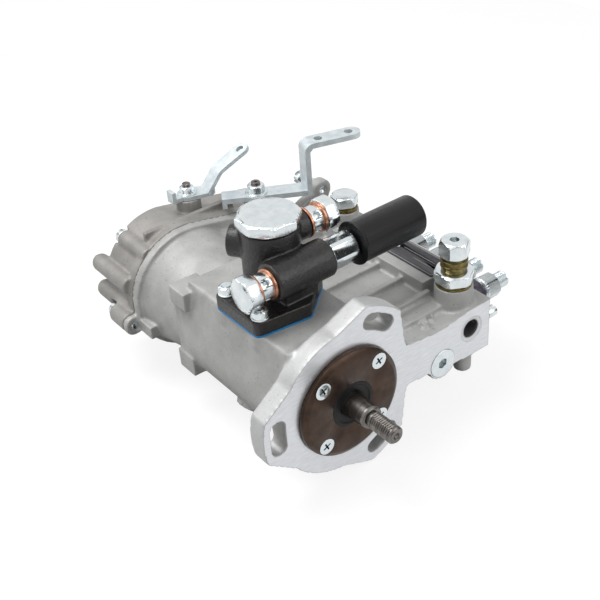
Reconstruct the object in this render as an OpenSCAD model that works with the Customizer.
/* [Fits] */
// Radial clearance where a piece turns or slides in another
run_gap = 0.05; // [0.02:0.01:0.09]
// Radial clearance where a still piece sits in its bore
seat_gap = 0.02; // [0.01:0.01:0.05]
// Gap between pieces that pass each other without touching
free_gap = 0.3; // [0.25:0.05:0.45]

/* [Mounting flange] */
// Radius of the flange between its lobes
flange_r = 54; // [52.5:0.5:56]
// Radius of the lobe tips
lobe_r = 66.5; // [65:0.5:70]
// Thickness of the flange
flange_t = 14.5; // [12:0.5:17]
// Radius of the circle that the slot centres lie on
slot_circle_r = 55.4; // [54.5:0.1:56.5]
// Width of the adjusting slots
slot_w = 11; // [9:0.5:11.5]
// Swing of a slot's end centre to each side, in degrees
slot_swing = 7.8; // [5:0.2:9]

/* [Cam tunnel] */
// Outer radius of the cam tunnel
tunnel_r = 43; // [41:0.5:44]
// Bore radius of the cam tunnel
tunnel_bore_r = 28; // [27.5:0.1:28.2]
// Rise of the feed pump's seat above the cam tunnel
pad_rise = 3; // [2:0.5:5]
// Distance between two pumping elements
pitch = 25; // [24.6:0.1:25.4]
// Distance of the first element from the flange face
element_y = 29; // [28.5:0.1:29.5]

/* [Camshaft] */
// Base circle radius of the cams
cam_base_r = 14; // [13:0.5:14.5]
// Reach of the cam noses
cam_nose_r = 22; // [20:0.5:22]
// Width of the cams
cam_w = 8; // [7:0.2:8.2]
// Throw of the feed pump's eccentric
feed_throw = 3; // [2:0.25:3.5]
// Journal radius in both ball bearings
journal_r = 10; // [9.5:0.25:10.5]
// Thread radius of the drive end
drive_thread_r = 6; // [5:0.5:6.5]
// Reach of the drive end in front of the flange face
drive_reach = 46; // [43:1:50]

/* [Bearing cover] */
// Radius of the bearing cover
cover_r = 39; // [37.5:0.5:40]
// Thickness of the bearing cover in front of the flange
cover_t = 5.3; // [4.5:0.1:6.5]
// Radius of the circle that the cover screws lie on
cover_screw_circle_r = 31.9; // [31.7:0.1:32.5]
// Outer radius of the shaft seal
seal_r = 16.3; // [15:0.1:17]
// Outer radius of the ball bearings
bearing_r = 23.5; // [22.5:0.25:24]
// Width of the ball bearings
bearing_w = 14; // [12:0.5:15]

/* [Pump head] */
// Distance of the delivery face from the shaft axis
head_x = 128; // [127:0.5:130]
// Top of the head beside the overflow valve
head_top_z = 18; // [17:0.5:20]
// Top of the raised rear part of the head
plateau_z = 29; // [27:0.5:31]
// Height of the web between tunnel and head
web_top_z = 20; // [18:0.5:22]
// Length of the head
head_len = 146; // [143:0.5:148]
// Distance of the control rack from the shaft axis
rack_x = 83.6; // [83:0.1:84.2]
// Depth of the control rack below the shaft axis
rack_z = 15; // [14.6:0.1:15.4]
// Distance of the fuel gallery from the shaft axis
gallery_x = 110.7; // [110:0.1:111.4]
// Radius of the fuel port
port_r = 6.5; // [6:0.1:7]
// Radius of the pump plungers
plunger_r = 4.5; // [3.5:0.25:4.75]
// Reach of the delivery unions from the shaft axis
union_reach = 173; // [170:0.5:178]

/* [Governor] */
// Outer radius of the governor housing about the shaft
governor_r = 47; // [46:0.5:49]
// Distance of the governor cover's seam from the flange face
seam_y = 186; // [184:0.5:188]
// Thickness of the cover gasket
gasket_t = 1; // [0.5:0.1:1.5]
// Wall of the governor housing and its cover
governor_wall = 5; // [4:0.5:6]
// Depth of the governor cover
governor_depth = 45; // [42:0.5:48]

/* [Feed pump] */
// Distance of the feed pump's axis from the flange face
feed_y = 71; // [70.6:0.1:71.2]
// Outer radius of the feed pump's upright barrel
feed_r = 19.5; // [19:0.25:20.5]
// Height of the feed pump's top face above its seat
feed_rise = 53; // [51:0.5:55]
// Across flats of the octagon cap
cap_af = 40; // [37:0.5:41]
// Height of the primer's axis above the feed pump's seat
primer_rise = 29; // [28.5:0.25:30]
// Distance of the primer's axis from the flange face
primer_y = 47.5; // [46.5:0.25:48]
// Radius of the primer handle
handle_r = 14.5; // [13.5:0.5:15]
// Length of the primer handle
handle_len = 54; // [50:1:58]
// Stroke of the hand primer
primer_stroke = 18; // [12:1:18]

/* [Levers] */
// Thickness of the throttle lever
throttle_t = 4; // [3:0.25:5]
// Width of the throttle lever
throttle_w = 14; // [12:0.5:16]
// Height of the throttle lever's riser
riser_h = 37; // [32:1:42]
// Thickness of the stop lever
stop_t = 3; // [2:0.25:4]
// Width of the stop lever
stop_w = 13; // [11:0.5:15]

/* [Hidden] */
pad_z = tunnel_r + pad_rise;
feed_top_z = pad_z + feed_rise;
primer_z = pad_z + primer_rise;
$fn = 64;
fine = 32;
bump = 0.01;

elements = [0 : 3];
function element_at(i) = element_y + i * pitch;
firing = [0, 90, 270, 180];

module along_y(y0, y1) translate([0, y1, 0]) rotate([90, 0, 0]) linear_extrude(y1 - y0) children();
module rod_x(r, x0, x1, y = 0, z = 0) translate([x0, y, z]) rotate([0, 90, 0]) cylinder(r = r, h = x1 - x0);
module rod_y(r, y0, y1, x = 0, z = 0) translate([x, y0, z]) rotate([-90, 0, 0]) cylinder(r = r, h = y1 - y0);
module rod_z(r, z0, z1, x = 0, y = 0) translate([x, y, z0]) cylinder(r = r, h = z1 - z0);
module box(lo, hi) translate(lo) cube(hi - lo);
module hex(af, h, sides = 6) rotate([0, 0, 180 / sides]) cylinder(r = af / 2 / cos(180 / sides), h = h, $fn = sides);
module chamfered_hex(af, h, cut = 1, sides = 6) intersection() {
    hex(af, h, sides);
    rotate_extrude() polygon([[0, 0], [af * 0.54, 0], [af * 0.54, h - cut], [af * 0.54 - 2 * cut, h], [0, h]]);
}
module washer(r, bore, t) difference() {
    cylinder(r = r, h = t);
    translate([0, 0, -bump]) cylinder(r = bore, h = t + 2 * bump);
}

// Outline round two circles, the second at p, joined by lines a hair inside their outer tangents
module belt(r1, p, r2) {
    d = norm(p);
    a = atan2(p[1], p[0]);
    b = acos((r1 - r2) / d);
    q1 = r1 - 0.02;
    q2 = r2 - 0.02;
    circle(r = r1);
    translate(p) circle(r = r2);
    polygon([[q1 * cos(a + b), q1 * sin(a + b)], [q1 * cos(a - b), q1 * sin(a - b)],
        [p[0] + q2 * cos(a - b), p[1] + q2 * sin(a - b)],
        [p[0] + q2 * cos(a + b), p[1] + q2 * sin(a + b)]]);
}

// Helical spring wire, swept along Z from 0 to h
function ring_point(r, wire, turns, h, k, j, steps, sides) =
    let (a = 360 * turns * k / steps, b = 360 * j / sides, q = r + wire * cos(b))
    [q * cos(a), q * sin(a), wire + (h - 2 * wire) * k / steps + wire * sin(b)];
module coil(r, wire, turns, h, sides = 5) {
    steps = round(turns * 12);
    points = [for (k = [0 : steps]) for (j = [0 : sides - 1]) ring_point(r, wire, turns, h, k, j, steps, sides)];
    walls = [for (k = [0 : steps - 1]) for (j = [0 : sides - 1]) for (half = [0, 1])
        [k * sides + j, half == 0 ? k * sides + (j + 1) % sides : (k + 1) * sides + (j + 1) % sides,
            half == 0 ? (k + 1) * sides + (j + 1) % sides : (k + 1) * sides + j]];
    ends = [[for (j = [sides - 1 : -1 : 0]) j], [for (j = [0 : sides - 1]) steps * sides + j]];
    polyhedron(points = points, faces = concat(walls, ends));
}

// Pump housing

lobe_angles = [60, 180, 300];
lobe_half = 14;
lobe_root = 38;
root_r = flange_r - 0.4;
slot_side = slot_w / 2 - 0.02;
module lobe() intersection() {
    circle(r = lobe_r);
    polygon([[0, 0], root_r * [cos(lobe_root), -sin(lobe_root)],
        [lobe_r * cos(lobe_half), -lobe_r * sin(lobe_half)], [lobe_r * 1.1, -lobe_r * 0.2],
        [lobe_r * 1.1, lobe_r * 0.2], [lobe_r * cos(lobe_half), lobe_r * sin(lobe_half)],
        root_r * [cos(lobe_root), sin(lobe_root)]]);
}
module flange_outline() {
    circle(r = flange_r);
    for (a = lobe_angles) rotate(a) lobe();
}
module slot_outline() {
    for (s = [-1, 1]) rotate(s * slot_swing) translate([slot_circle_r, 0]) circle(r = slot_w / 2);
    intersection() {
        difference() {
            circle(r = slot_circle_r + slot_side);
            circle(r = slot_circle_r - slot_side);
        }
        polygon([[0, 0], [100 * cos(slot_swing), -100 * sin(slot_swing)],
            [100 * cos(slot_swing), 100 * sin(slot_swing)]]);
    }
}

shoulder_x = -34;
pad_right_x = 27;
module tunnel_outline() {
    d = norm([shoulder_x, pad_z]);
    touch = atan2(pad_z, shoulder_x) + acos(tunnel_r / d);
    circle(r = tunnel_r);
    polygon([[0, 0], [(tunnel_r - 0.02) * cos(touch), (tunnel_r - 0.02) * sin(touch)], [shoulder_x, pad_z],
        [pad_right_x, pad_z], [pad_right_x + 6, web_top_z]]);
}

tunnel_end_y = 125;
rear_wall_y = 138;
bearing_seat_y = 118;
boss_r = 12.5;
valve_y = 16;
valve_boss_r = 13.4;
valve_boss_z = 32;
plug_y = 133;
plug_boss_z = 41;
plug_boss_r = 10.8;
foot_z = [[-28, -13], [27, 41]];
governor_far = [76, 2];
governor_far_r = 31;
rim_proud = 1.8;
rim_w = 7;
bell_wall = governor_wall * 0.85;
ear = [-52, -13];
ear_r = 8;
ear_hole_r = 3;
low_ear = [22, -47];
throttle_at = [61, 175];
throttle_boss_z = 51.5;
stop_at = [23, 211];
stop_boss_z = 54;
speed_at = [110, 47];
speed_lug_y = [157, 166];
speed_thread_r = 3;
tappet_r = 11;
barrel_r = 8;
barrel_head_r = 11;
barrel_seat_x = 112;
sleeve_room = [77.5, 92];
plug_head_r = 10.7;
rack_r = 4;
feed_neck_r = 12.9;
cover_sink = 0.4;
feed_stud_at = [[-31, 44], [-31, 80], [23.5, 67]];

module head_outline() {
    polygon([[40, -15], [71, -18], [rack_x, -20], [112, -23], [head_x, -22], [head_x, head_top_z],
        [104.5, head_top_z - 1], [80, 14], [53, head_top_z - 1], [30, head_top_z - 1]]);
    translate([rack_x, -rack_z]) circle(r = boss_r);
}
module governor_outline(out = 0) belt(governor_r + out, governor_far, governor_far_r + out);
module ears(y0, y1) {
    for (p = [ear, low_ear]) rod_y(ear_r, y0, y1, p[0], p[1]);
}
module housing_solid() {
    along_y(0, flange_t) flange_outline();
    along_y(flange_t - 1, tunnel_end_y) tunnel_outline();
    rotate([-90, 0, 0]) rotate_extrude()
        polygon([[0, flange_t], [flange_r - 4, flange_t], [tunnel_r + 2, flange_t + 6],
            [tunnel_r - 0.5, flange_t + 18], [0, flange_t + 18]]);
    along_y(0, head_len) head_outline();
    along_y(14, head_len) polygon([[20, 0], [70, 0], [96, 10], [98, web_top_z], [30, web_top_z]]);
    for (i = elements) box([28, element_at(i) - 2, 10], [98, element_at(i) + 2, web_top_z + 5]);
    box([96, 33, 10], [head_x, head_len, plateau_z]);
    rod_z(valve_boss_r, 0, valve_boss_z, gallery_x - 2, valve_y);
    rod_z(plug_boss_r, 0, plug_boss_z, gallery_x, plug_y);
    rod_z(6.5, -46, 0, 119, 16);
    // raised casting marks, plain rings with no characters
    for (m = [[76, 10], [83, 14], [90, 18]]) translate([m[0], m[1], 12]) washer(3.6, 2.6, 5.2);
    // neck and bell between the cam tunnel and the governor
    rotate([-90, 0, 0]) rotate_extrude()
        polygon([[0, tunnel_end_y - 10], [tunnel_r, tunnel_end_y - 10], [tunnel_r, tunnel_end_y],
            [tunnel_r - 4, tunnel_end_y + 8], [tunnel_r - 3.5, tunnel_end_y + 15],
            [governor_r - 5, seam_y - 28], [governor_r - 2, seam_y - 8], [governor_r, seam_y], [0, seam_y]]);
    along_y(seam_y - 46, seam_y) belt(governor_r - 9, governor_far, governor_far_r - 3);
    along_y(seam_y - rim_w, seam_y) governor_outline(rim_proud);
    ears(seam_y - 5, seam_y);
    for (z = foot_z) box([-43, 118, z[0]], [-20, 137, z[1]]);
    box([-41.5, 126, foot_z[0][0]], [-30, 136, foot_z[1][1]]);
    rotate([0, -142, 0]) rod_z(10, 0, tunnel_r + 3, 0, 74);
    for (p = feed_stud_at) rod_z(7.5, pad_z - 10, pad_z, p[0], p[1]);
    rod_z(10, 20, throttle_boss_z, throttle_at[0], throttle_at[1]);
    translate([0, speed_lug_y[1], 0]) rotate([90, 0, 0]) linear_extrude(speed_lug_y[1] - speed_lug_y[0]) {
        translate([speed_at[0], speed_at[1]]) circle(r = 8);
        polygon([[speed_at[0] - 8, speed_at[1]], [speed_at[0] + 8, speed_at[1]], [104, 10], [80, 20], [86, 40]]);
    }
    // rib from the ear forward along the bell
    box([ear[0] + 3, 164, ear[1] - 5], [-30, seam_y - 4, ear[1] + 5]);
}
module governor_room(grow = 0)
    belt(governor_r - governor_wall - 2 - grow, governor_far, governor_far_r - governor_wall - 2 - grow);
module pump_housing() color("silver") difference() {
    housing_solid();
    for (a = lobe_angles) along_y(-1, flange_t + 1) rotate(a) slot_outline();
    rod_y(tunnel_bore_r, -1, bearing_seat_y - 2);
    rod_y(cover_r + 0.1, -1, cover_sink);
    rod_y(bearing_r + seat_gap, bearing_seat_y - 3, bearing_seat_y + bearing_w);
    rod_y(journal_r + 4, bearing_seat_y, rear_wall_y + 2);
    rotate([-90, 0, 0]) rotate_extrude()
        polygon([[0, rear_wall_y + 1], [tunnel_r - 3.5 - bell_wall, rear_wall_y + 1], [governor_r - 5 - bell_wall, seam_y - 28],
            [governor_r - governor_wall - 2, seam_y - 8], [governor_r - governor_wall - 2, seam_y + 1], [0, seam_y + 1]]);
    along_y(rear_wall_y + 14, seam_y + 1) belt(30, governor_far, governor_far_r - governor_wall - 2);
    for (a = [45 : 90 : 315]) rotate([0, a, 0]) rod_y(cover_screw_r, -1, cover_screw_len + 1, cover_screw_circle_r);
    for (i = elements) {
        rod_x(tappet_r + run_gap, 0, sleeve_room[1], element_at(i));
        rod_x(barrel_r + seat_gap, sleeve_room[0], barrel_seat_x + 1, element_at(i));
        rod_x(barrel_head_r + seat_gap, barrel_seat_x, head_x + 1, element_at(i));
    }
    box([sleeve_room[0] + 0.5, 20, -rack_z - 5], [sleeve_room[1], 122, 0]);
    rod_y(rack_r + run_gap, 8, rear_wall_y + 15, rack_x, -rack_z);
    rod_y(plug_thread_r + seat_gap, -1, plug_len, rack_x, -rack_z);
    rod_y(plug_head_r + 0.15, -1, plug_head_t, rack_x, -rack_z);
    rod_y(port_r, -1, 16, gallery_x, 0.4);
    rod_y(10, -1, 0.8, gallery_x, 0.4);
    rod_y(4, 10, head_len - 8, gallery_x, 0.4);
    rod_z(valve_thread_r + seat_gap, 12, valve_boss_z + 1, gallery_x - 2, valve_y);
    rod_z(3, 0, 14, gallery_x - 2, valve_y);
    rod_z(plug_screw_r + seat_gap, 20, plug_boss_z + 1, gallery_x, plug_y);
    rod_z(3, 0, 22, gallery_x, plug_y);
    rod_z(feed_neck_r + seat_gap, 15, pad_z + 1, 0, feed_y);
    for (p = feed_stud_at) rod_z(feed_stud_r + seat_gap, pad_z - 12, pad_z + 1, p[0], p[1]);
    for (p = [ear, low_ear]) rod_y(ear_hole_r + seat_gap, seam_y - 6, seam_y + 1, p[0], p[1]);
    for (p = cover_bolt_at) rod_y(ear_hole_r + seat_gap, seam_y - 6.5, seam_y + 1, p[0], p[1]);
    rod_z(throttle_shaft_r + run_gap, 10, throttle_boss_z + 1, throttle_at[0], throttle_at[1]);
    rod_y(speed_thread_r + seat_gap, speed_lug_y[0] - 1, speed_lug_y[1] + 1, speed_at[0], speed_at[1]);
    rod_x(bleed_r + seat_gap, head_x - 10, head_x + 1, bleed_at[0], bleed_at[1]);
    for (y = plate_rivet_y) rod_z(rivet_r + seat_gap, plateau_z - 5, plateau_z + 1, plate_x, y);
    // machined step along the delivery face
    box([head_x - 16, -1, -24], [head_x - 15.6, 0.3, head_top_z + 1]);
}

// Drive end: cover, seal, screws and bearings

cover_screw_r = 3;
cover_screw_len = 16;
cover_head_r = 5.8;
spigot_len = bearing_w + 2;
module at_cover_screws() for (a = [45 : 90 : 315]) rotate([0, a, 0]) translate([cover_screw_circle_r, -cover_t, 0]) children();
module bearing_cover() color("saddlebrown") difference() {
    rotate([-90, 0, 0]) rotate_extrude()
        polygon([[seal_r + seat_gap, -cover_t], [cover_r - 3.5, -cover_t], [cover_r, -cover_t + 2],
            [cover_r, 0], [cover_r - 1, 0], [cover_r - 1, cover_sink], [tunnel_bore_r - seat_gap, cover_sink],
            [tunnel_bore_r - seat_gap, spigot_len],
            [bearing_r + seat_gap, spigot_len], [bearing_r + seat_gap, 2], [seal_r + seat_gap, 2]]);
    at_cover_screws() rotate([-90, 0, 0]) {
        translate([0, 0, -bump]) cylinder(r1 = cover_head_r + 0.1, r2 = cover_screw_r + 0.1, h = cover_head_r - cover_screw_r);
        cylinder(r = cover_screw_r + 0.1, h = cover_t + 1);
    }
}
module bearing_cover_screws() color("lightgray") at_cover_screws() rotate([-90, 0, 0]) difference() {
    union() {
        cylinder(r1 = cover_head_r, r2 = cover_screw_r, h = cover_head_r - cover_screw_r);
        cylinder(r = cover_screw_r, h = cover_screw_len + cover_t);
    }
    for (a = [0, 90]) rotate([0, 0, a + 20]) box([-3, -0.6, -1], [3, 0.6, 1.8]);
}
lip_w = 4;
module shaft_seal() color("dimgray") rotate([-90, 0, 0]) rotate_extrude()
    polygon([[seal_in_r, -cover_t + 1.8], [seal_in_r + 2, -cover_t + 0.8], [seal_r - 3, -cover_t + 0.8],
        [seal_r - 2, -cover_t], [seal_r, -cover_t], [seal_r, 1.8], [seal_r - 2, 1.8],
        [seal_in_r + 3, -0.5], [seal_in_r, -0.5]]);

race_gap = 4.5;
race_mid_r = 16.75;
module at_bearings() {
    translate([0, 2, 0]) children();
    translate([0, bearing_seat_y, 0]) children();
}
module bearing_outer_rings() color("lightslategray") at_bearings() rotate([-90, 0, 0])
    washer(bearing_r, race_mid_r + race_gap / 2, bearing_w);
module bearing_inner_rings() color("slategray") at_bearings() rotate([-90, 0, 0])
    washer(race_mid_r - race_gap / 2, journal_r + seat_gap, bearing_w);
module bearing_balls() color("gainsboro") at_bearings() for (k = [0 : 7]) rotate([0, k * 45, 0])
    translate([race_mid_r, bearing_w / 2, 0]) sphere(r = race_gap / 2 - run_gap);

// Camshaft

taper_front_r = 7.5;
taper_rear_r = 8.5;
seal_in_r = taper_rear_r + run_gap;
web_r = 12;
governor_shaft_r = 8;
camshaft_end_y = 172;
thread_end_y = drive_reach - 20;
ecc_w = 8.4;
module cam(y, w, turn) translate([0, y + w / 2, 0]) rotate([0, turn, 0]) rotate([90, 0, 0]) linear_extrude(w)
    belt(cam_base_r, [cam_nose_r - 5, 0], 5);
module camshaft() color("darkgray") {
    difference() {
        rotate([-90, 0, 0]) rotate_extrude()
            polygon([[0, -drive_reach], [drive_thread_r - 1.2, -drive_reach], [drive_thread_r, -drive_reach + 1.2],
                [drive_thread_r, -thread_end_y], [drive_thread_r - 1, -thread_end_y], [drive_thread_r - 1, -thread_end_y + 2],
                [taper_front_r, -thread_end_y + 2.5], [taper_rear_r, -cover_t - 1], [taper_rear_r, 1],
                [journal_r, 1.5], [journal_r, 2 + bearing_w], [web_r, 2 + bearing_w], [web_r, bearing_seat_y],
                [journal_r, bearing_seat_y], [journal_r, bearing_seat_y + bearing_w], [governor_shaft_r, bearing_seat_y + bearing_w + 1],
                [governor_shaft_r, camshaft_end_y], [0, camshaft_end_y]]);
        rotate([-90, 0, 0]) rotate_extrude()
            polygon([[0, -drive_reach - 1], [2.2, -drive_reach - 1], [2.2, -drive_reach + 0.2], [0, -drive_reach + 3.5]]);
    }
    for (i = elements) cam(element_at(i), cam_w, firing[i]);
    translate([feed_throw, 0, 0]) rod_y(cam_base_r, feed_y - 4.4, feed_y - 4.4 + ecc_w - 0.4);
}

// Pumping elements, one behind each delivery union

roller_r = 6.5;
roller_x = cam_nose_r + free_gap + roller_r;
tappet_end_x = 50;
seat_x = 74;
module tappets() color("gray") for (i = elements) difference() {
    rod_x(tappet_r, roller_x + 0.5, tappet_end_x, element_at(i));
    box([roller_x - 9, element_at(i) - 5, -roller_r - 0.5], [roller_x + roller_r + 0.5, element_at(i) + 5, roller_r + 0.5]);
    rod_y(2.5, element_at(i) - 12, element_at(i) + 12, roller_x);
    rod_x(7, tappet_end_x - 5, tappet_end_x + 1, element_at(i));
}
module tappet_rollers() color("lightgray") for (i = elements) {
    rod_y(roller_r, element_at(i) - 4.7, element_at(i) + 4.7, roller_x);
    rod_y(2.4, element_at(i) - 9.5, element_at(i) + 9.5, roller_x);
}
module plunger_springs() color("darkslategray") for (i = elements)
    translate([tappet_end_x + 0.1, element_at(i), 0]) rotate([0, 90, 0]) coil(8.6, 1.3, 5, seat_x - tappet_end_x - 2.2);
module spring_seats() color("gray") for (i = elements)
    translate([seat_x - 2, element_at(i), 0]) rotate([0, 90, 0]) washer(tappet_r - 0.1, 6.4, 3);
barrel_top_x = 122;
guide_r = 6;
port_x = 106;
module pump_barrels() color("lightsteelblue") for (i = elements) difference() {
    union() {
        rod_x(guide_r, sleeve_room[0] + 1, sleeve_room[1] + 2, element_at(i));
        rod_x(barrel_r, sleeve_room[1], barrel_top_x, element_at(i));
        rod_x(barrel_head_r, barrel_seat_x, barrel_top_x, element_at(i));
    }
    rod_x(plunger_r + run_gap, 60, barrel_top_x + 1, element_at(i));
    rod_y(1.5, element_at(i) - 12, element_at(i) + 12, port_x);
    difference() {
        rod_x(20, port_x - 4, port_x + 4, element_at(i));
        rod_x(barrel_r - 1.5, port_x - 5, port_x + 5, element_at(i));
    }
}

// Each set is a control sleeve and the plunger that its slot keys and turns
arm_r = 12;
pin_r = 1.5;
arm_rest = 19;
rack_slot = pin_r + 0.25;
plunger_foot_x = tappet_end_x - 4.7;
module plunger_set(i) color("goldenrod") translate([0, element_at(i), 0]) {
    difference() {
        union() {
            rod_x(9, sleeve_room[0] - 2, sleeve_room[1] - 0.5);
            rotate([-arm_rest, 0, 0]) mirror([0, 0, 1]) {
                box([88.2, -2, 7], [91, 2, arm_r + pin_r]);
                rod_x(pin_r, rack_x - 4, 89, 0, arm_r);
            }
        }
        rod_x(guide_r + run_gap, 60, 100);
        box([sleeve_room[0] - 3, -1.7, -10], [sleeve_room[0] + 0.7, 1.7, 10]);
    }
    difference() {
        union() {
            rod_x(plunger_r, plunger_foot_x, 110);
            box([sleeve_room[0] - 1.4, -1.5, -8.6], [sleeve_room[0] + 0.5, 1.5, 8.6]);
            rod_x(6, plunger_foot_x, plunger_foot_x + 3);
        }
        box([100, 1, -6], [107, 6, 6]);
    }
}
module plunger_set_1() plunger_set(0);
module plunger_set_2() plunger_set(1);
module plunger_set_3() plunger_set(2);
module plunger_set_4() plunger_set(3);
module control_rack() color("slategray") difference() {
    rod_y(rack_r, 14, 164, rack_x, -rack_z);
    for (i = elements) translate([0, element_at(i) + arm_r * sin(-arm_rest), 0])
        box([rack_x - 6, -rack_slot, -arm_r - pin_r - 0.35], [rack_x + 6, rack_slot, 0]);
    box([rack_x - 6, 156, -rack_z - 1.5], [rack_x + 6, 159, 0]);
}
plug_thread_r = 8;
plug_len = 9;
plug_head_t = 1.2;
module rack_plug() color("gainsboro") difference() {
    union() {
        rod_y(plug_thread_r, -0.4, plug_len - 0.5, rack_x, -rack_z);
        rod_y(plug_head_r, -0.4, plug_head_t, rack_x, -rack_z);
    }
    translate([rack_x, -1, -rack_z]) rotate([-90, 0, 0]) hex(7, 6);
}

// Delivery unions

collar_r = 12;
union_hex_x = 150;
union_hex_af = 17;
union_thread_r = 6;
union_bore_r = 3;
module delivery_collars() color("dimgray") for (i = elements) translate([head_x, element_at(i), 0]) rotate([0, 90, 0])
    difference() {
        union() {
            cylinder(r = collar_r, h = 15);
            cylinder(r1 = collar_r, r2 = collar_r - 1.5, h = 17);
            translate([0, 0, -5]) cylinder(r = barrel_head_r - 0.1, h = 6);
        }
        translate([0, 0, -6]) cylinder(r = 8.2 + seat_gap, h = 30);
    }
module delivery_valves() color("lightsteelblue") for (i = elements) {
    rod_x(7.5, barrel_top_x, barrel_top_x + 3, element_at(i));
    rod_x(4.4, barrel_top_x + 2, barrel_top_x + 10, element_at(i));
    rod_x(1.8, barrel_top_x + 9, barrel_top_x + 16, element_at(i));
}
module delivery_springs() color("darkslategray") for (i = elements)
    translate([barrel_top_x + 10.1, element_at(i), 0]) rotate([0, 90, 0]) coil(3.2, 0.7, 4, 14, 4);
module delivery_unions() color("gainsboro") for (i = elements) translate([barrel_top_x + 3, element_at(i), 0]) rotate([0, 90, 0])
    difference() {
        union() {
            cylinder(r = 8.2, h = union_hex_x - barrel_top_x - 2);
            translate([0, 0, union_hex_x - barrel_top_x - 5]) cylinder(r = 9.4, h = 2.5);
            translate([0, 0, union_hex_x - barrel_top_x - 3]) chamfered_hex(union_hex_af, 12);
            translate([0, 0, union_hex_x - barrel_top_x + 8]) cylinder(r = union_thread_r - 1, h = 3);
            translate([0, 0, union_hex_x - barrel_top_x + 10])
                cylinder(r = union_thread_r, h = union_reach - union_hex_x - 14);
            translate([0, 0, union_reach - barrel_top_x - 4]) cylinder(r1 = union_thread_r, r2 = union_thread_r - 0.7, h = 1);
        }
        translate([0, 0, -1]) cylinder(r = 5, h = 23);
        cylinder(r = union_bore_r, h = union_reach);
        translate([0, 0, union_reach - barrel_top_x - 5]) cylinder(r1 = union_bore_r, r2 = union_bore_r + 1.3, h = 2 + bump);
    }
bleed_at = [5.5, 0.5];
bleed_r = 2.5;
module bleed_screw() color("gainsboro") difference() {
    union() {
        rod_x(bleed_r, head_x - 9, head_x + 3, bleed_at[0], bleed_at[1]);
        rod_x(4, head_x + 2, head_x + 10, bleed_at[0], bleed_at[1]);
    }
    box([head_x + 8, bleed_at[0] - 0.8, bleed_at[1] - 6], [head_x + 11, bleed_at[0] + 0.8, bleed_at[1] + 6]);
}

// Rating plate, left blank

plate_x = 115.5;
plate_y = [34, 84];
plate_w = 21;
plate_t = 0.8;
plate_rivet_y = [38, 80];
rivet_r = 1.2;
module rating_plate() color("dimgray") difference() {
    box([plate_x - plate_w / 2, plate_y[0], plateau_z], [plate_x + plate_w / 2, plate_y[1], plateau_z + plate_t]);
    for (y = plate_rivet_y) rod_z(rivet_r + seat_gap, plateau_z - 1, plateau_z + 2, plate_x, y);
}
module plate_rivets() color("lightgray") for (y = plate_rivet_y) {
    rod_z(rivet_r, plateau_z - 4, plateau_z + plate_t + 0.5, plate_x, y);
    translate([plate_x, y, plateau_z + plate_t]) rotate_extrude()
        polygon([[0, 0], [2.4, 0], [2.2, 0.6], [1.4, 1.1], [0, 1.3]]);
}

// Overflow valve and gallery plug

valve_thread_r = 7;
valve_nut_af = 25.5;
valve_cap_af = 19;
plug_screw_r = 6;
washer_t = 1.6;
valve_nut_z = valve_boss_z + 2 * washer_t;
module at_valve(z) translate([gallery_x - 2, valve_y, z]) children();
module overflow_valve_body() color("olive") difference() {
    union() {
        at_valve(16) cylinder(r = valve_thread_r, h = valve_nut_z + 9 - 16);
        at_valve(valve_nut_z + 8) cylinder(r = 8.6, h = 9);
        at_valve(valve_nut_z + 11) washer(9.4, 5, 2);
        at_valve(valve_nut_z + 15) washer(9.4, 5, 2);
    }
    at_valve(10) cylinder(r = 3, h = 60);
}
module overflow_valve_nut() color("gainsboro") at_valve(valve_nut_z) difference() {
    chamfered_hex(valve_nut_af, 8, 1.2);
    translate([0, 0, -1]) cylinder(r = valve_thread_r + seat_gap, h = 12);
}
module overflow_valve_cap() color("gainsboro") at_valve(valve_nut_z + 17) difference() {
    union() {
        cylinder(r = 7.4, h = 3);
        translate([0, 0, 2]) intersection() {
            hex(valve_cap_af, 12);
            rotate_extrude() polygon([[0, 0], [9, 0], [11.2, 2], [11.2, 9.5], [8.6, 12], [0, 12]]);
        }
        translate([0, 0, -4]) cylinder(r = 3 - seat_gap, h = 5);
    }
    translate([0, 0, 9]) hex(6, 6);
}
module sealing_washers() color("olive") {
    at_valve(valve_boss_z) washer(12.6, valve_thread_r + seat_gap, washer_t);
    at_valve(valve_boss_z + washer_t) washer(11.6, valve_thread_r + seat_gap, washer_t);
    for (k = [0, 1]) translate([gallery_x, plug_y, plug_boss_z + k * 2.4]) washer(9.8 - k, plug_screw_r + seat_gap, 1.8 + 0.6 * (1 - k));
}
plug_head_z = plug_boss_z + 4.2;
module gallery_plug() color("gainsboro") translate([gallery_x, plug_y, 0]) {
    rod_z(plug_screw_r, 24, plug_head_z + 1);
    rod_z(9, plug_head_z, plug_head_z + 1.2);
    translate([0, 0, plug_head_z]) chamfered_hex(19, 8);
}

// Governor cover and its fasteners

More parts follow.
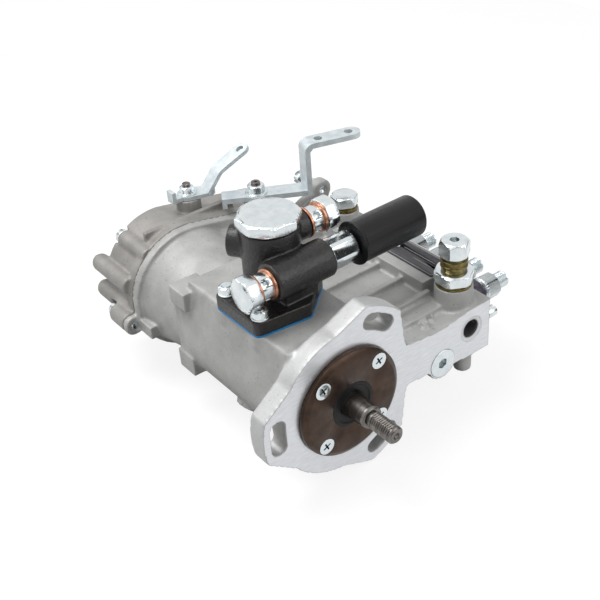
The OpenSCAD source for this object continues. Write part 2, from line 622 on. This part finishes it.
cover_y = seam_y + gasket_t;
back_y = cover_y + governor_depth;
cover_bolt_at = [[-28, 34], [-15, -41.5], [96, 22.5], [96, -18.5]];
bolt_seat_y = back_y - 9;
ear_seat_y = cover_y + 20;
left_boss = [[-45, 14], [-45, -9]];
module governor_gasket() color("gray") along_y(seam_y, cover_y) difference() {
    union() {
        governor_outline(rim_proud - 0.4);
        for (p = [ear, low_ear]) translate(p) circle(r = ear_r - 0.5);
    }
    governor_room();
    for (p = concat([ear, low_ear], cover_bolt_at)) translate(p) circle(r = ear_hole_r + 0.2);
}
module governor_cover() color("rosybrown") difference() {
    union() {
        along_y(cover_y, cover_y + 8) governor_outline(rim_proud - 0.6);
        along_y(cover_y + 7, back_y - 4) governor_outline(-0.8);
        along_y(back_y - 5, back_y - 1.6) governor_outline(-2.2);
        along_y(back_y - 2, back_y) governor_outline(-4.4);
        ears(cover_y, ear_seat_y);
        for (p = left_boss) {
            rod_y(7, cover_y + 4, back_y + 5, p[0], p[1]);
            translate([p[0], back_y + 5, p[1]]) rotate([90, 0, 0]) rotate_extrude()
                polygon([[0, -6], [3, -5.4], [5.4, -3], [7, 0], [7, 1], [0, 1]]);
        }
        for (p = cover_bolt_at) rod_y(6.5, cover_y, bolt_seat_y, p[0], p[1]);
        rod_z(9.5, 20, stop_boss_z, stop_at[0], stop_at[1]);
        rod_y(12, back_y - 2, back_y + 4, governor_far[0], governor_far[1]);
        box([-25, cover_y + 8, 28], [52, cover_y + 12, 48.5]);
    }
    along_y(cover_y - 1, back_y - governor_wall - 4) governor_room(1);
    for (p = [ear, low_ear]) {
        rod_y(ear_hole_r + 0.2, cover_y - 1, ear_seat_y + 1, p[0], p[1]);
        rod_y(6.8, ear_seat_y, ear_seat_y + 9, p[0], p[1]);
    }
    for (p = cover_bolt_at) {
        rod_y(ear_hole_r + 0.2, cover_y - 1, back_y, p[0], p[1]);
        rod_y(7, bolt_seat_y, back_y + 1, p[0], p[1]);
    }
    rod_z(stop_shaft_r + run_gap, 15, stop_boss_z + 1, stop_at[0], stop_at[1]);
    rod_y(6, back_y - 2, back_y + 5, governor_far[0], governor_far[1]);
}
module cap_screw(p, y, reach, af = 10) {
    rod_y(ear_hole_r, seam_y - reach, y + 1, p[0], p[1]);
    translate([p[0], y, p[1]]) rotate([-90, 0, 0]) {
        cylinder(r = af * 0.62, h = 1.2);
        translate([0, 0, 1]) chamfered_hex(af, 5, 0.8);
    }
}
module governor_screws() color("gainsboro") {
    for (p = [ear, low_ear]) cap_screw(p, ear_seat_y, 4);
    for (p = cover_bolt_at) cap_screw(p, bolt_seat_y, 6);
}

// Governor: weights swing out on the camshaft and push the sleeve back

pivot_y = 150;
pivot_z = 16;
carrier_y = pivot_y - 10;
weight_pin_r = 1.6;
module flyweight_carrier() color("gray") difference() {
    union() {
        rod_y(18, carrier_y, carrier_y + 5);
        for (s = [0, 180]) rotate([0, s, 0]) for (t = [-1, 1]) {
            box([t * 6 - 1.7, carrier_y + 1, 12.6], [t * 6 + 1.7, pivot_y + 2.5, pivot_z + 3.5]);
        }
        for (s = [-1, 1]) rod_x(weight_pin_r, -7.7, 7.7, pivot_y, s * pivot_z);
    }
    rod_y(governor_shaft_r + seat_gap, carrier_y - 1, carrier_y + 20);
}
toe = 7.2;
module flyweight() color("darkslategray") difference() {
    union() {
        rod_x(3.4, -4, 4, pivot_y, pivot_z);
        box([-4, pivot_y - 1.5, pivot_z - toe], [4, pivot_y + 1.5, pivot_z]);
        box([-4, pivot_y, pivot_z + 0.5], [4, pivot_y + 8, pivot_z + 3.4]);
        box([-9, pivot_y + 5.5, pivot_z - 0.5], [9, pivot_y + 18, pivot_z + 9]);
    }
    rod_x(weight_pin_r + run_gap, -5, 5, pivot_y, pivot_z);
}
module flyweight_a() flyweight();
module flyweight_b() rotate([0, 180, 0]) flyweight();
module governor_sleeve() color("lightsteelblue") rotate([-90, 0, 0]) difference() {
    union() {
        translate([0, 0, pivot_y + 1.5 + free_gap]) cylinder(r = 12, h = 2);
        translate([0, 0, pivot_y + 1.5 + free_gap]) cylinder(r = 10.5, h = 14);
    }
    cylinder(r = governor_shaft_r + run_gap, h = camshaft_end_y + 20);
}

// Maximum speed screw in the housing's lug

module speed_screw() color("gainsboro") difference() {
    union() {
        rod_y(speed_thread_r, speed_lug_y[0] + 1, speed_lug_y[1] + 17, speed_at[0], speed_at[1]);
        rod_y(5.5, speed_lug_y[1] + 16, speed_lug_y[1] + 21, speed_at[0], speed_at[1]);
    }
    box([speed_at[0] - 7, speed_lug_y[1] + 19, speed_at[1] - 0.7], [speed_at[0] + 7, speed_lug_y[1] + 22, speed_at[1] + 0.7]);
    translate([speed_at[0], speed_lug_y[0], speed_at[1]]) rotate([-90, 0, 0]) hex(3, 4);
}
module speed_screw_nut() color("gainsboro") translate([speed_at[0], speed_lug_y[1], speed_at[1]]) rotate([-90, 0, 0]) difference() {
    chamfered_hex(10, 5, 0.8);
    translate([0, 0, -1]) cylinder(r = speed_thread_r + seat_gap, h = 7);
}

// Throttle lever on its upright shaft

throttle_shaft_r = 4.5;
lever_z = throttle_boss_z + free_gap + 1.4;
bar_turn = -31;
bar_len = 40;
top_turn = -17;
top_len = 46;
tab_turn = 148;
module throttle_shaft() color("silver") difference() {
    union() {
        rod_z(throttle_shaft_r, 22, lever_z - 1.4, throttle_at[0], throttle_at[1]);
        rod_z(7.5, lever_z - 1.4, lever_z, throttle_at[0], throttle_at[1]);
        rod_z(3.4, lever_z - 1, lever_z + throttle_t + 9, throttle_at[0], throttle_at[1]);
    }
    rod_z(1.2, lever_z + throttle_t + 7, lever_z + throttle_t + 12, throttle_at[0], throttle_at[1]);
}
module throttle_lever() color("lightgray") translate([throttle_at[0], throttle_at[1], lever_z]) difference() {
    union() {
        linear_extrude(throttle_t) {
            circle(r = 9.5);
            rotate(bar_turn) translate([0, -throttle_w / 2]) square([bar_len, throttle_w]);
            rotate(tab_turn) translate([0, -6.5]) square([26, 13]);
        }
        rotate([0, 0, tab_turn]) {
            translate([22.5, -6.5, -4]) cube([3.5, 13, 5]);
        }
        rotate([0, 0, bar_turn]) translate([bar_len - 2, 0, 0]) rotate([0, 0, top_turn - bar_turn]) {
            translate([-throttle_t / 2, -throttle_w / 2, 0]) cube([throttle_t, throttle_w, riser_h + throttle_t]);
            translate([0, 0, riser_h]) linear_extrude(throttle_t) difference() {
                union() {
                    translate([-throttle_t / 2, -throttle_w / 2]) square([top_len - throttle_w / 2, throttle_w]);
                    translate([top_len - throttle_w / 2 - throttle_t / 2, 0]) circle(r = throttle_w / 2);
                }
                for (x = [11, 35]) translate([x, 0]) circle(r = 3.2);
            }
        }
    }
    translate([0, 0, -1]) cylinder(r = 3.4 + seat_gap, h = throttle_t + 2);
}
module throttle_nut() color("gainsboro") translate([throttle_at[0], throttle_at[1], lever_z + throttle_t]) difference() {
    union() {
        cylinder(r = 8.2, h = 1);
        translate([0, 0, 1]) chamfered_hex(12, 6, 0.8);
    }
    translate([0, 0, -1]) cylinder(r = 3.4 + seat_gap, h = 10);
}

// Stop lever on its upright shaft

stop_shaft_r = 4;
stop_turn = -8;
stop_hub_z = stop_boss_z + free_gap;
module stop_shaft() color("silver") {
    rod_z(stop_shaft_r, 22, stop_hub_z, stop_at[0], stop_at[1]);
    rod_z(stop_thread_r, 22, stop_hub_z + stop_t + 8, stop_at[0], stop_at[1]);
    translate([stop_at[0], stop_at[1], 24]) rotate([0, 0, -40]) linear_extrude(4) belt(6, [16, 0], 4);
}
stop_thread_r = 3;
stop_strip = stop_w / 2 - 0.1;
rise = 52;
tip = 25;
leg = 20;
tip_leg = 23;
stop_foot = [13.4, -5.6];
function along(a) = [cos(a), sin(a)];
function across(a) = [-sin(a), cos(a)];
bend_top = leg * along(rise) + stop_t * across(rise);
bend_low = bend_top - stop_t * (across(rise) + across(tip)) / (1 + across(rise) * across(tip));
tip_top = bend_top + tip_leg * along(tip);
module at_stop_foot() translate([stop_foot[0], stop_foot[1], 0]) rotate([0, 0, stop_turn]) children();
module at_stop_tip() at_stop_foot() translate([tip_top[0], 0, tip_top[1]]) rotate([0, -tip, 0]) children();
module stop_lever() color("lightgray") translate([stop_at[0], stop_at[1], stop_hub_z]) difference() {
    union() {
        linear_extrude(stop_t) belt(8, stop_foot, stop_w / 2);
        box([-15, -4, 0], [0, 4, stop_t]);
        box([-15, -4, 0], [-15 + stop_t, 4, 9]);
        at_stop_foot() translate([0, stop_strip, 0]) rotate([90, 0, 0]) linear_extrude(2 * stop_strip)
            polygon([0.5 * along(rise), bend_low, tip_top - stop_t * across(tip), tip_top, bend_top,
                0.5 * along(rise) + stop_t * across(rise)]);
        at_stop_tip() translate([0, 0, -stop_t]) cylinder(r = stop_w / 2, h = stop_t);
    }
    translate([0, 0, -1]) cylinder(r = stop_thread_r + seat_gap, h = stop_t + 2);
    at_stop_tip() translate([0, 0, -stop_t - 1]) cylinder(r = 3, h = stop_t + 2);
}
module stop_nut() color("gainsboro") translate([stop_at[0], stop_at[1], stop_hub_z + stop_t]) difference() {
    union() {
        cylinder(r = 7, h = 1);
        translate([0, 0, 1]) chamfered_hex(10, 5, 0.8);
    }
    translate([0, 0, -1]) cylinder(r = stop_thread_r + seat_gap, h = 8);
}

// Feed pump on the tunnel's top

feed_pad_t = 10;
feed_gasket_t = 1;
feed_base_z = pad_z + feed_gasket_t;
feed_stud_r = 3;
outlet_z = pad_z + 43;
outlet_x = 27;
inlet_x = -19.4;
piston_r = 10;
feed_corner = [[-33, 43], [-33, 81], [8, 83], [24, 70], [24, 59], [0, 39]];
module feed_pad() hull() for (p = feed_corner) translate(p) circle(r = 5, $fn = fine);
module feed_stud_holes() for (p = feed_stud_at) translate(p) circle(r = feed_stud_r + 0.2);
module feed_pump_gasket() color("steelblue") translate([0, 0, pad_z]) linear_extrude(feed_gasket_t) difference() {
    feed_pad();
    feed_stud_holes();
    translate([0, feed_y]) circle(r = feed_neck_r + 0.2);
}
module feed_pump_body() color("#3a3838") difference() {
    union() {
        translate([0, 0, feed_base_z]) linear_extrude(feed_pad_t) feed_pad();
        rod_z(feed_neck_r, pad_z - 15, feed_base_z + 1, 0, feed_y);
        rod_z(feed_r, feed_base_z, feed_top_z, 0, feed_y);
        rod_x(13, inlet_x, gland_x, primer_y, primer_z);
        box([-12, primer_y - 6, feed_base_z + 5], [14, feed_y, primer_z]);
        rod_x(10, 0, outlet_x, feed_y, outlet_z);
        translate([0, feed_y, outlet_z - 4]) rotate([0, 0, 125]) rod_x(11, 0, 27);
    }
    for (p = feed_stud_at) rod_z(feed_stud_r + 0.2, feed_base_z - 1, feed_base_z + 30, p[0], p[1]);
    for (p = feed_stud_at) rod_z(7.5, feed_base_z + feed_pad_t, feed_base_z + feed_pad_t + 8, p[0], p[1]);
    rod_z(piston_r + run_gap, feed_base_z + 8, feed_top_z - 8, 0, feed_y);
    rod_z(14 + seat_gap, feed_top_z - 9, feed_top_z + 1, 0, feed_y);
    rod_z(tappet_rod_r + run_gap, 20, feed_base_z + 10, 0, feed_y);
    rod_x(8 + run_gap, inlet_x + 10, gland_x + 1, primer_y, primer_z);
    rod_x(banjo_r + seat_gap, inlet_x - 1, inlet_x + 11, primer_y, primer_z);
    rod_x(banjo_r + seat_gap, 12, outlet_x + 1, feed_y, outlet_z);
}
module feed_pump_studs() color("gainsboro") for (p = feed_stud_at) rod_z(feed_stud_r, pad_z - 11, feed_base_z + feed_pad_t + 6.6, p[0], p[1]);
module feed_pump_nuts() color("gainsboro") for (p = feed_stud_at) translate([p[0], p[1], feed_base_z + feed_pad_t]) difference() {
    union() {
        cylinder(r = 6, h = 1.2);
        translate([0, 0, 1.2]) chamfered_hex(10, 5, 0.8);
    }
    translate([0, 0, -1]) cylinder(r = feed_stud_r + seat_gap, h = 9);
}
tappet_rod_r = 3.4;
module feed_tappet() color("silver") rod_z(tappet_rod_r, cam_base_r + feed_throw + 0.4, feed_base_z + 12, 0, feed_y);
module feed_piston() color("silver") difference() {
    rod_z(piston_r, feed_base_z + 12, feed_base_z + 26, 0, feed_y);
    rod_z(7, feed_base_z + 17, feed_base_z + 27, 0, feed_y);
}
module feed_spring() color("darkslategray") translate([0, feed_y, feed_base_z + 17]) coil(5.6, 0.9, 6, feed_top_z - 8 - feed_base_z - 17.1);
cap_t = 8;
cap_turn = -4;
seal_t = 1;
module feed_cap_seal() color("peru") translate([0, feed_y, feed_top_z]) washer(feed_r - 1.5, 14 + seat_gap, seal_t);
module feed_pump_cap() color("gainsboro") translate([0, feed_y, feed_top_z + seal_t]) {
    rotate([0, 0, cap_turn]) intersection() {
        hex(cap_af, cap_t, 8);
        rotate_extrude() polygon([[0, 0], [cap_af / 2 - 0.5, 0], [cap_af * 0.54, 1.5], [cap_af * 0.54, cap_t - 1.6],
            [cap_af / 2 - 1.2, cap_t], [0, cap_t]]);
    }
    translate([0, 0, -8 - seal_t + 0.2]) cylinder(r = 14, h = 9 + seal_t - 0.5);
}

// Hollow bolts, each through a copper washer, a drilled spacer and a second washer

banjo_r = 6;
copper_t = 1.8;
spacer_w = 9;
bolt_af = 22;
bolt_head = 10;
stack = 2 * copper_t + spacer_w;
module at_inlet() translate([inlet_x, primer_y, primer_z]) rotate([0, -90, 0]) children();
module at_outlet() translate([outlet_x, feed_y, outlet_z]) rotate([0, 90, 0]) children();
module banjo_bolt() difference() {
    union() {
        translate([0, 0, -5]) cylinder(r = banjo_r, h = 6 + stack);
        translate([0, 0, stack]) chamfered_hex(bolt_af, bolt_head, 1.4);
    }
    translate([0, 0, -10]) cylinder(r = 3, h = 10 + stack - 2);
}
module banjo_bolts() color("gainsboro") {
    at_inlet() banjo_bolt();
    at_outlet() banjo_bolt();
}
module banjo_washer_pair() for (z = [0, copper_t + spacer_w]) translate([0, 0, z]) washer(10.4, banjo_r + seat_gap, copper_t);
module banjo_washers() color("peru") {
    at_inlet() banjo_washer_pair();
    at_outlet() banjo_washer_pair();
}
module banjo_spacer() translate([0, 0, copper_t]) difference() {
    cylinder(r = 9, h = spacer_w);
    translate([0, 0, -1]) cylinder(r = banjo_r + seat_gap, h = spacer_w + 2);
    for (a = [0, 90]) rotate([0, 0, a + 45]) translate([-12, 0, spacer_w / 2]) rotate([0, 90, 0]) cylinder(r = 2.2, h = 24);
}
module banjo_spacers() color("gainsboro") {
    at_inlet() banjo_spacer();
    at_outlet() banjo_spacer();
}

// Hand primer: the gland stays, the handle pulls its piston out of the cylinder

gland_x = 25;
gland_len = 20.6;
primer_rod_r = 3.5;
handle_x = gland_x + gland_len + 2;
module primer_gland() color("gainsboro") translate([gland_x, primer_y, primer_z]) rotate([0, 90, 0]) difference() {
    union() {
        translate([0, 0, -7]) cylinder(r = 8, h = 8);
        cylinder(r = 10.6, h = 1.2);
        translate([0, 0, 1]) chamfered_hex(20, gland_len - 1, 1);
    }
    translate([0, 0, -8]) cylinder(r = primer_rod_r + run_gap, h = 30);
}
module primer_handle() color("#2b2b2e") translate([0, primer_y, primer_z]) rotate([0, 90, 0]) {
    translate([0, 0, handle_x]) rotate_extrude()
        polygon([[0, 0], [handle_r + 0.6, 0], [handle_r + 0.6, 1.6], [handle_r, 2], [handle_r, handle_len - 2],
            [handle_r - 2, handle_len], [0, handle_len]]);
    translate([0, 0, -3]) cylinder(r = primer_rod_r, h = handle_x + 4);
    translate([0, 0, -7.5]) cylinder(r = 8, h = 6);
}

pump_housing();
bearing_cover();
bearing_cover_screws();
shaft_seal();
bearing_outer_rings();
bearing_inner_rings();
bearing_balls();
camshaft();
tappets();
tappet_rollers();
plunger_springs();
spring_seats();
pump_barrels();
plunger_set_1();
plunger_set_2();
plunger_set_3();
plunger_set_4();
control_rack();
rack_plug();
delivery_collars();
delivery_valves();
delivery_springs();
delivery_unions();
bleed_screw();
rating_plate();
plate_rivets();
overflow_valve_body();
overflow_valve_nut();
overflow_valve_cap();
sealing_washers();
gallery_plug();
governor_gasket();
governor_cover();
governor_screws();
flyweight_carrier();
flyweight_a();
flyweight_b();
governor_sleeve();
speed_screw();
speed_screw_nut();
throttle_shaft();
throttle_lever();
throttle_nut();
stop_shaft();
stop_lever();
stop_nut();
feed_pump_gasket();
feed_pump_body();
feed_pump_studs();
feed_pump_nuts();
feed_tappet();
feed_piston();
feed_spring();
feed_cap_seal();
feed_pump_cap();
banjo_bolts();
banjo_washers();
banjo_spacers();
primer_gland();
primer_handle();
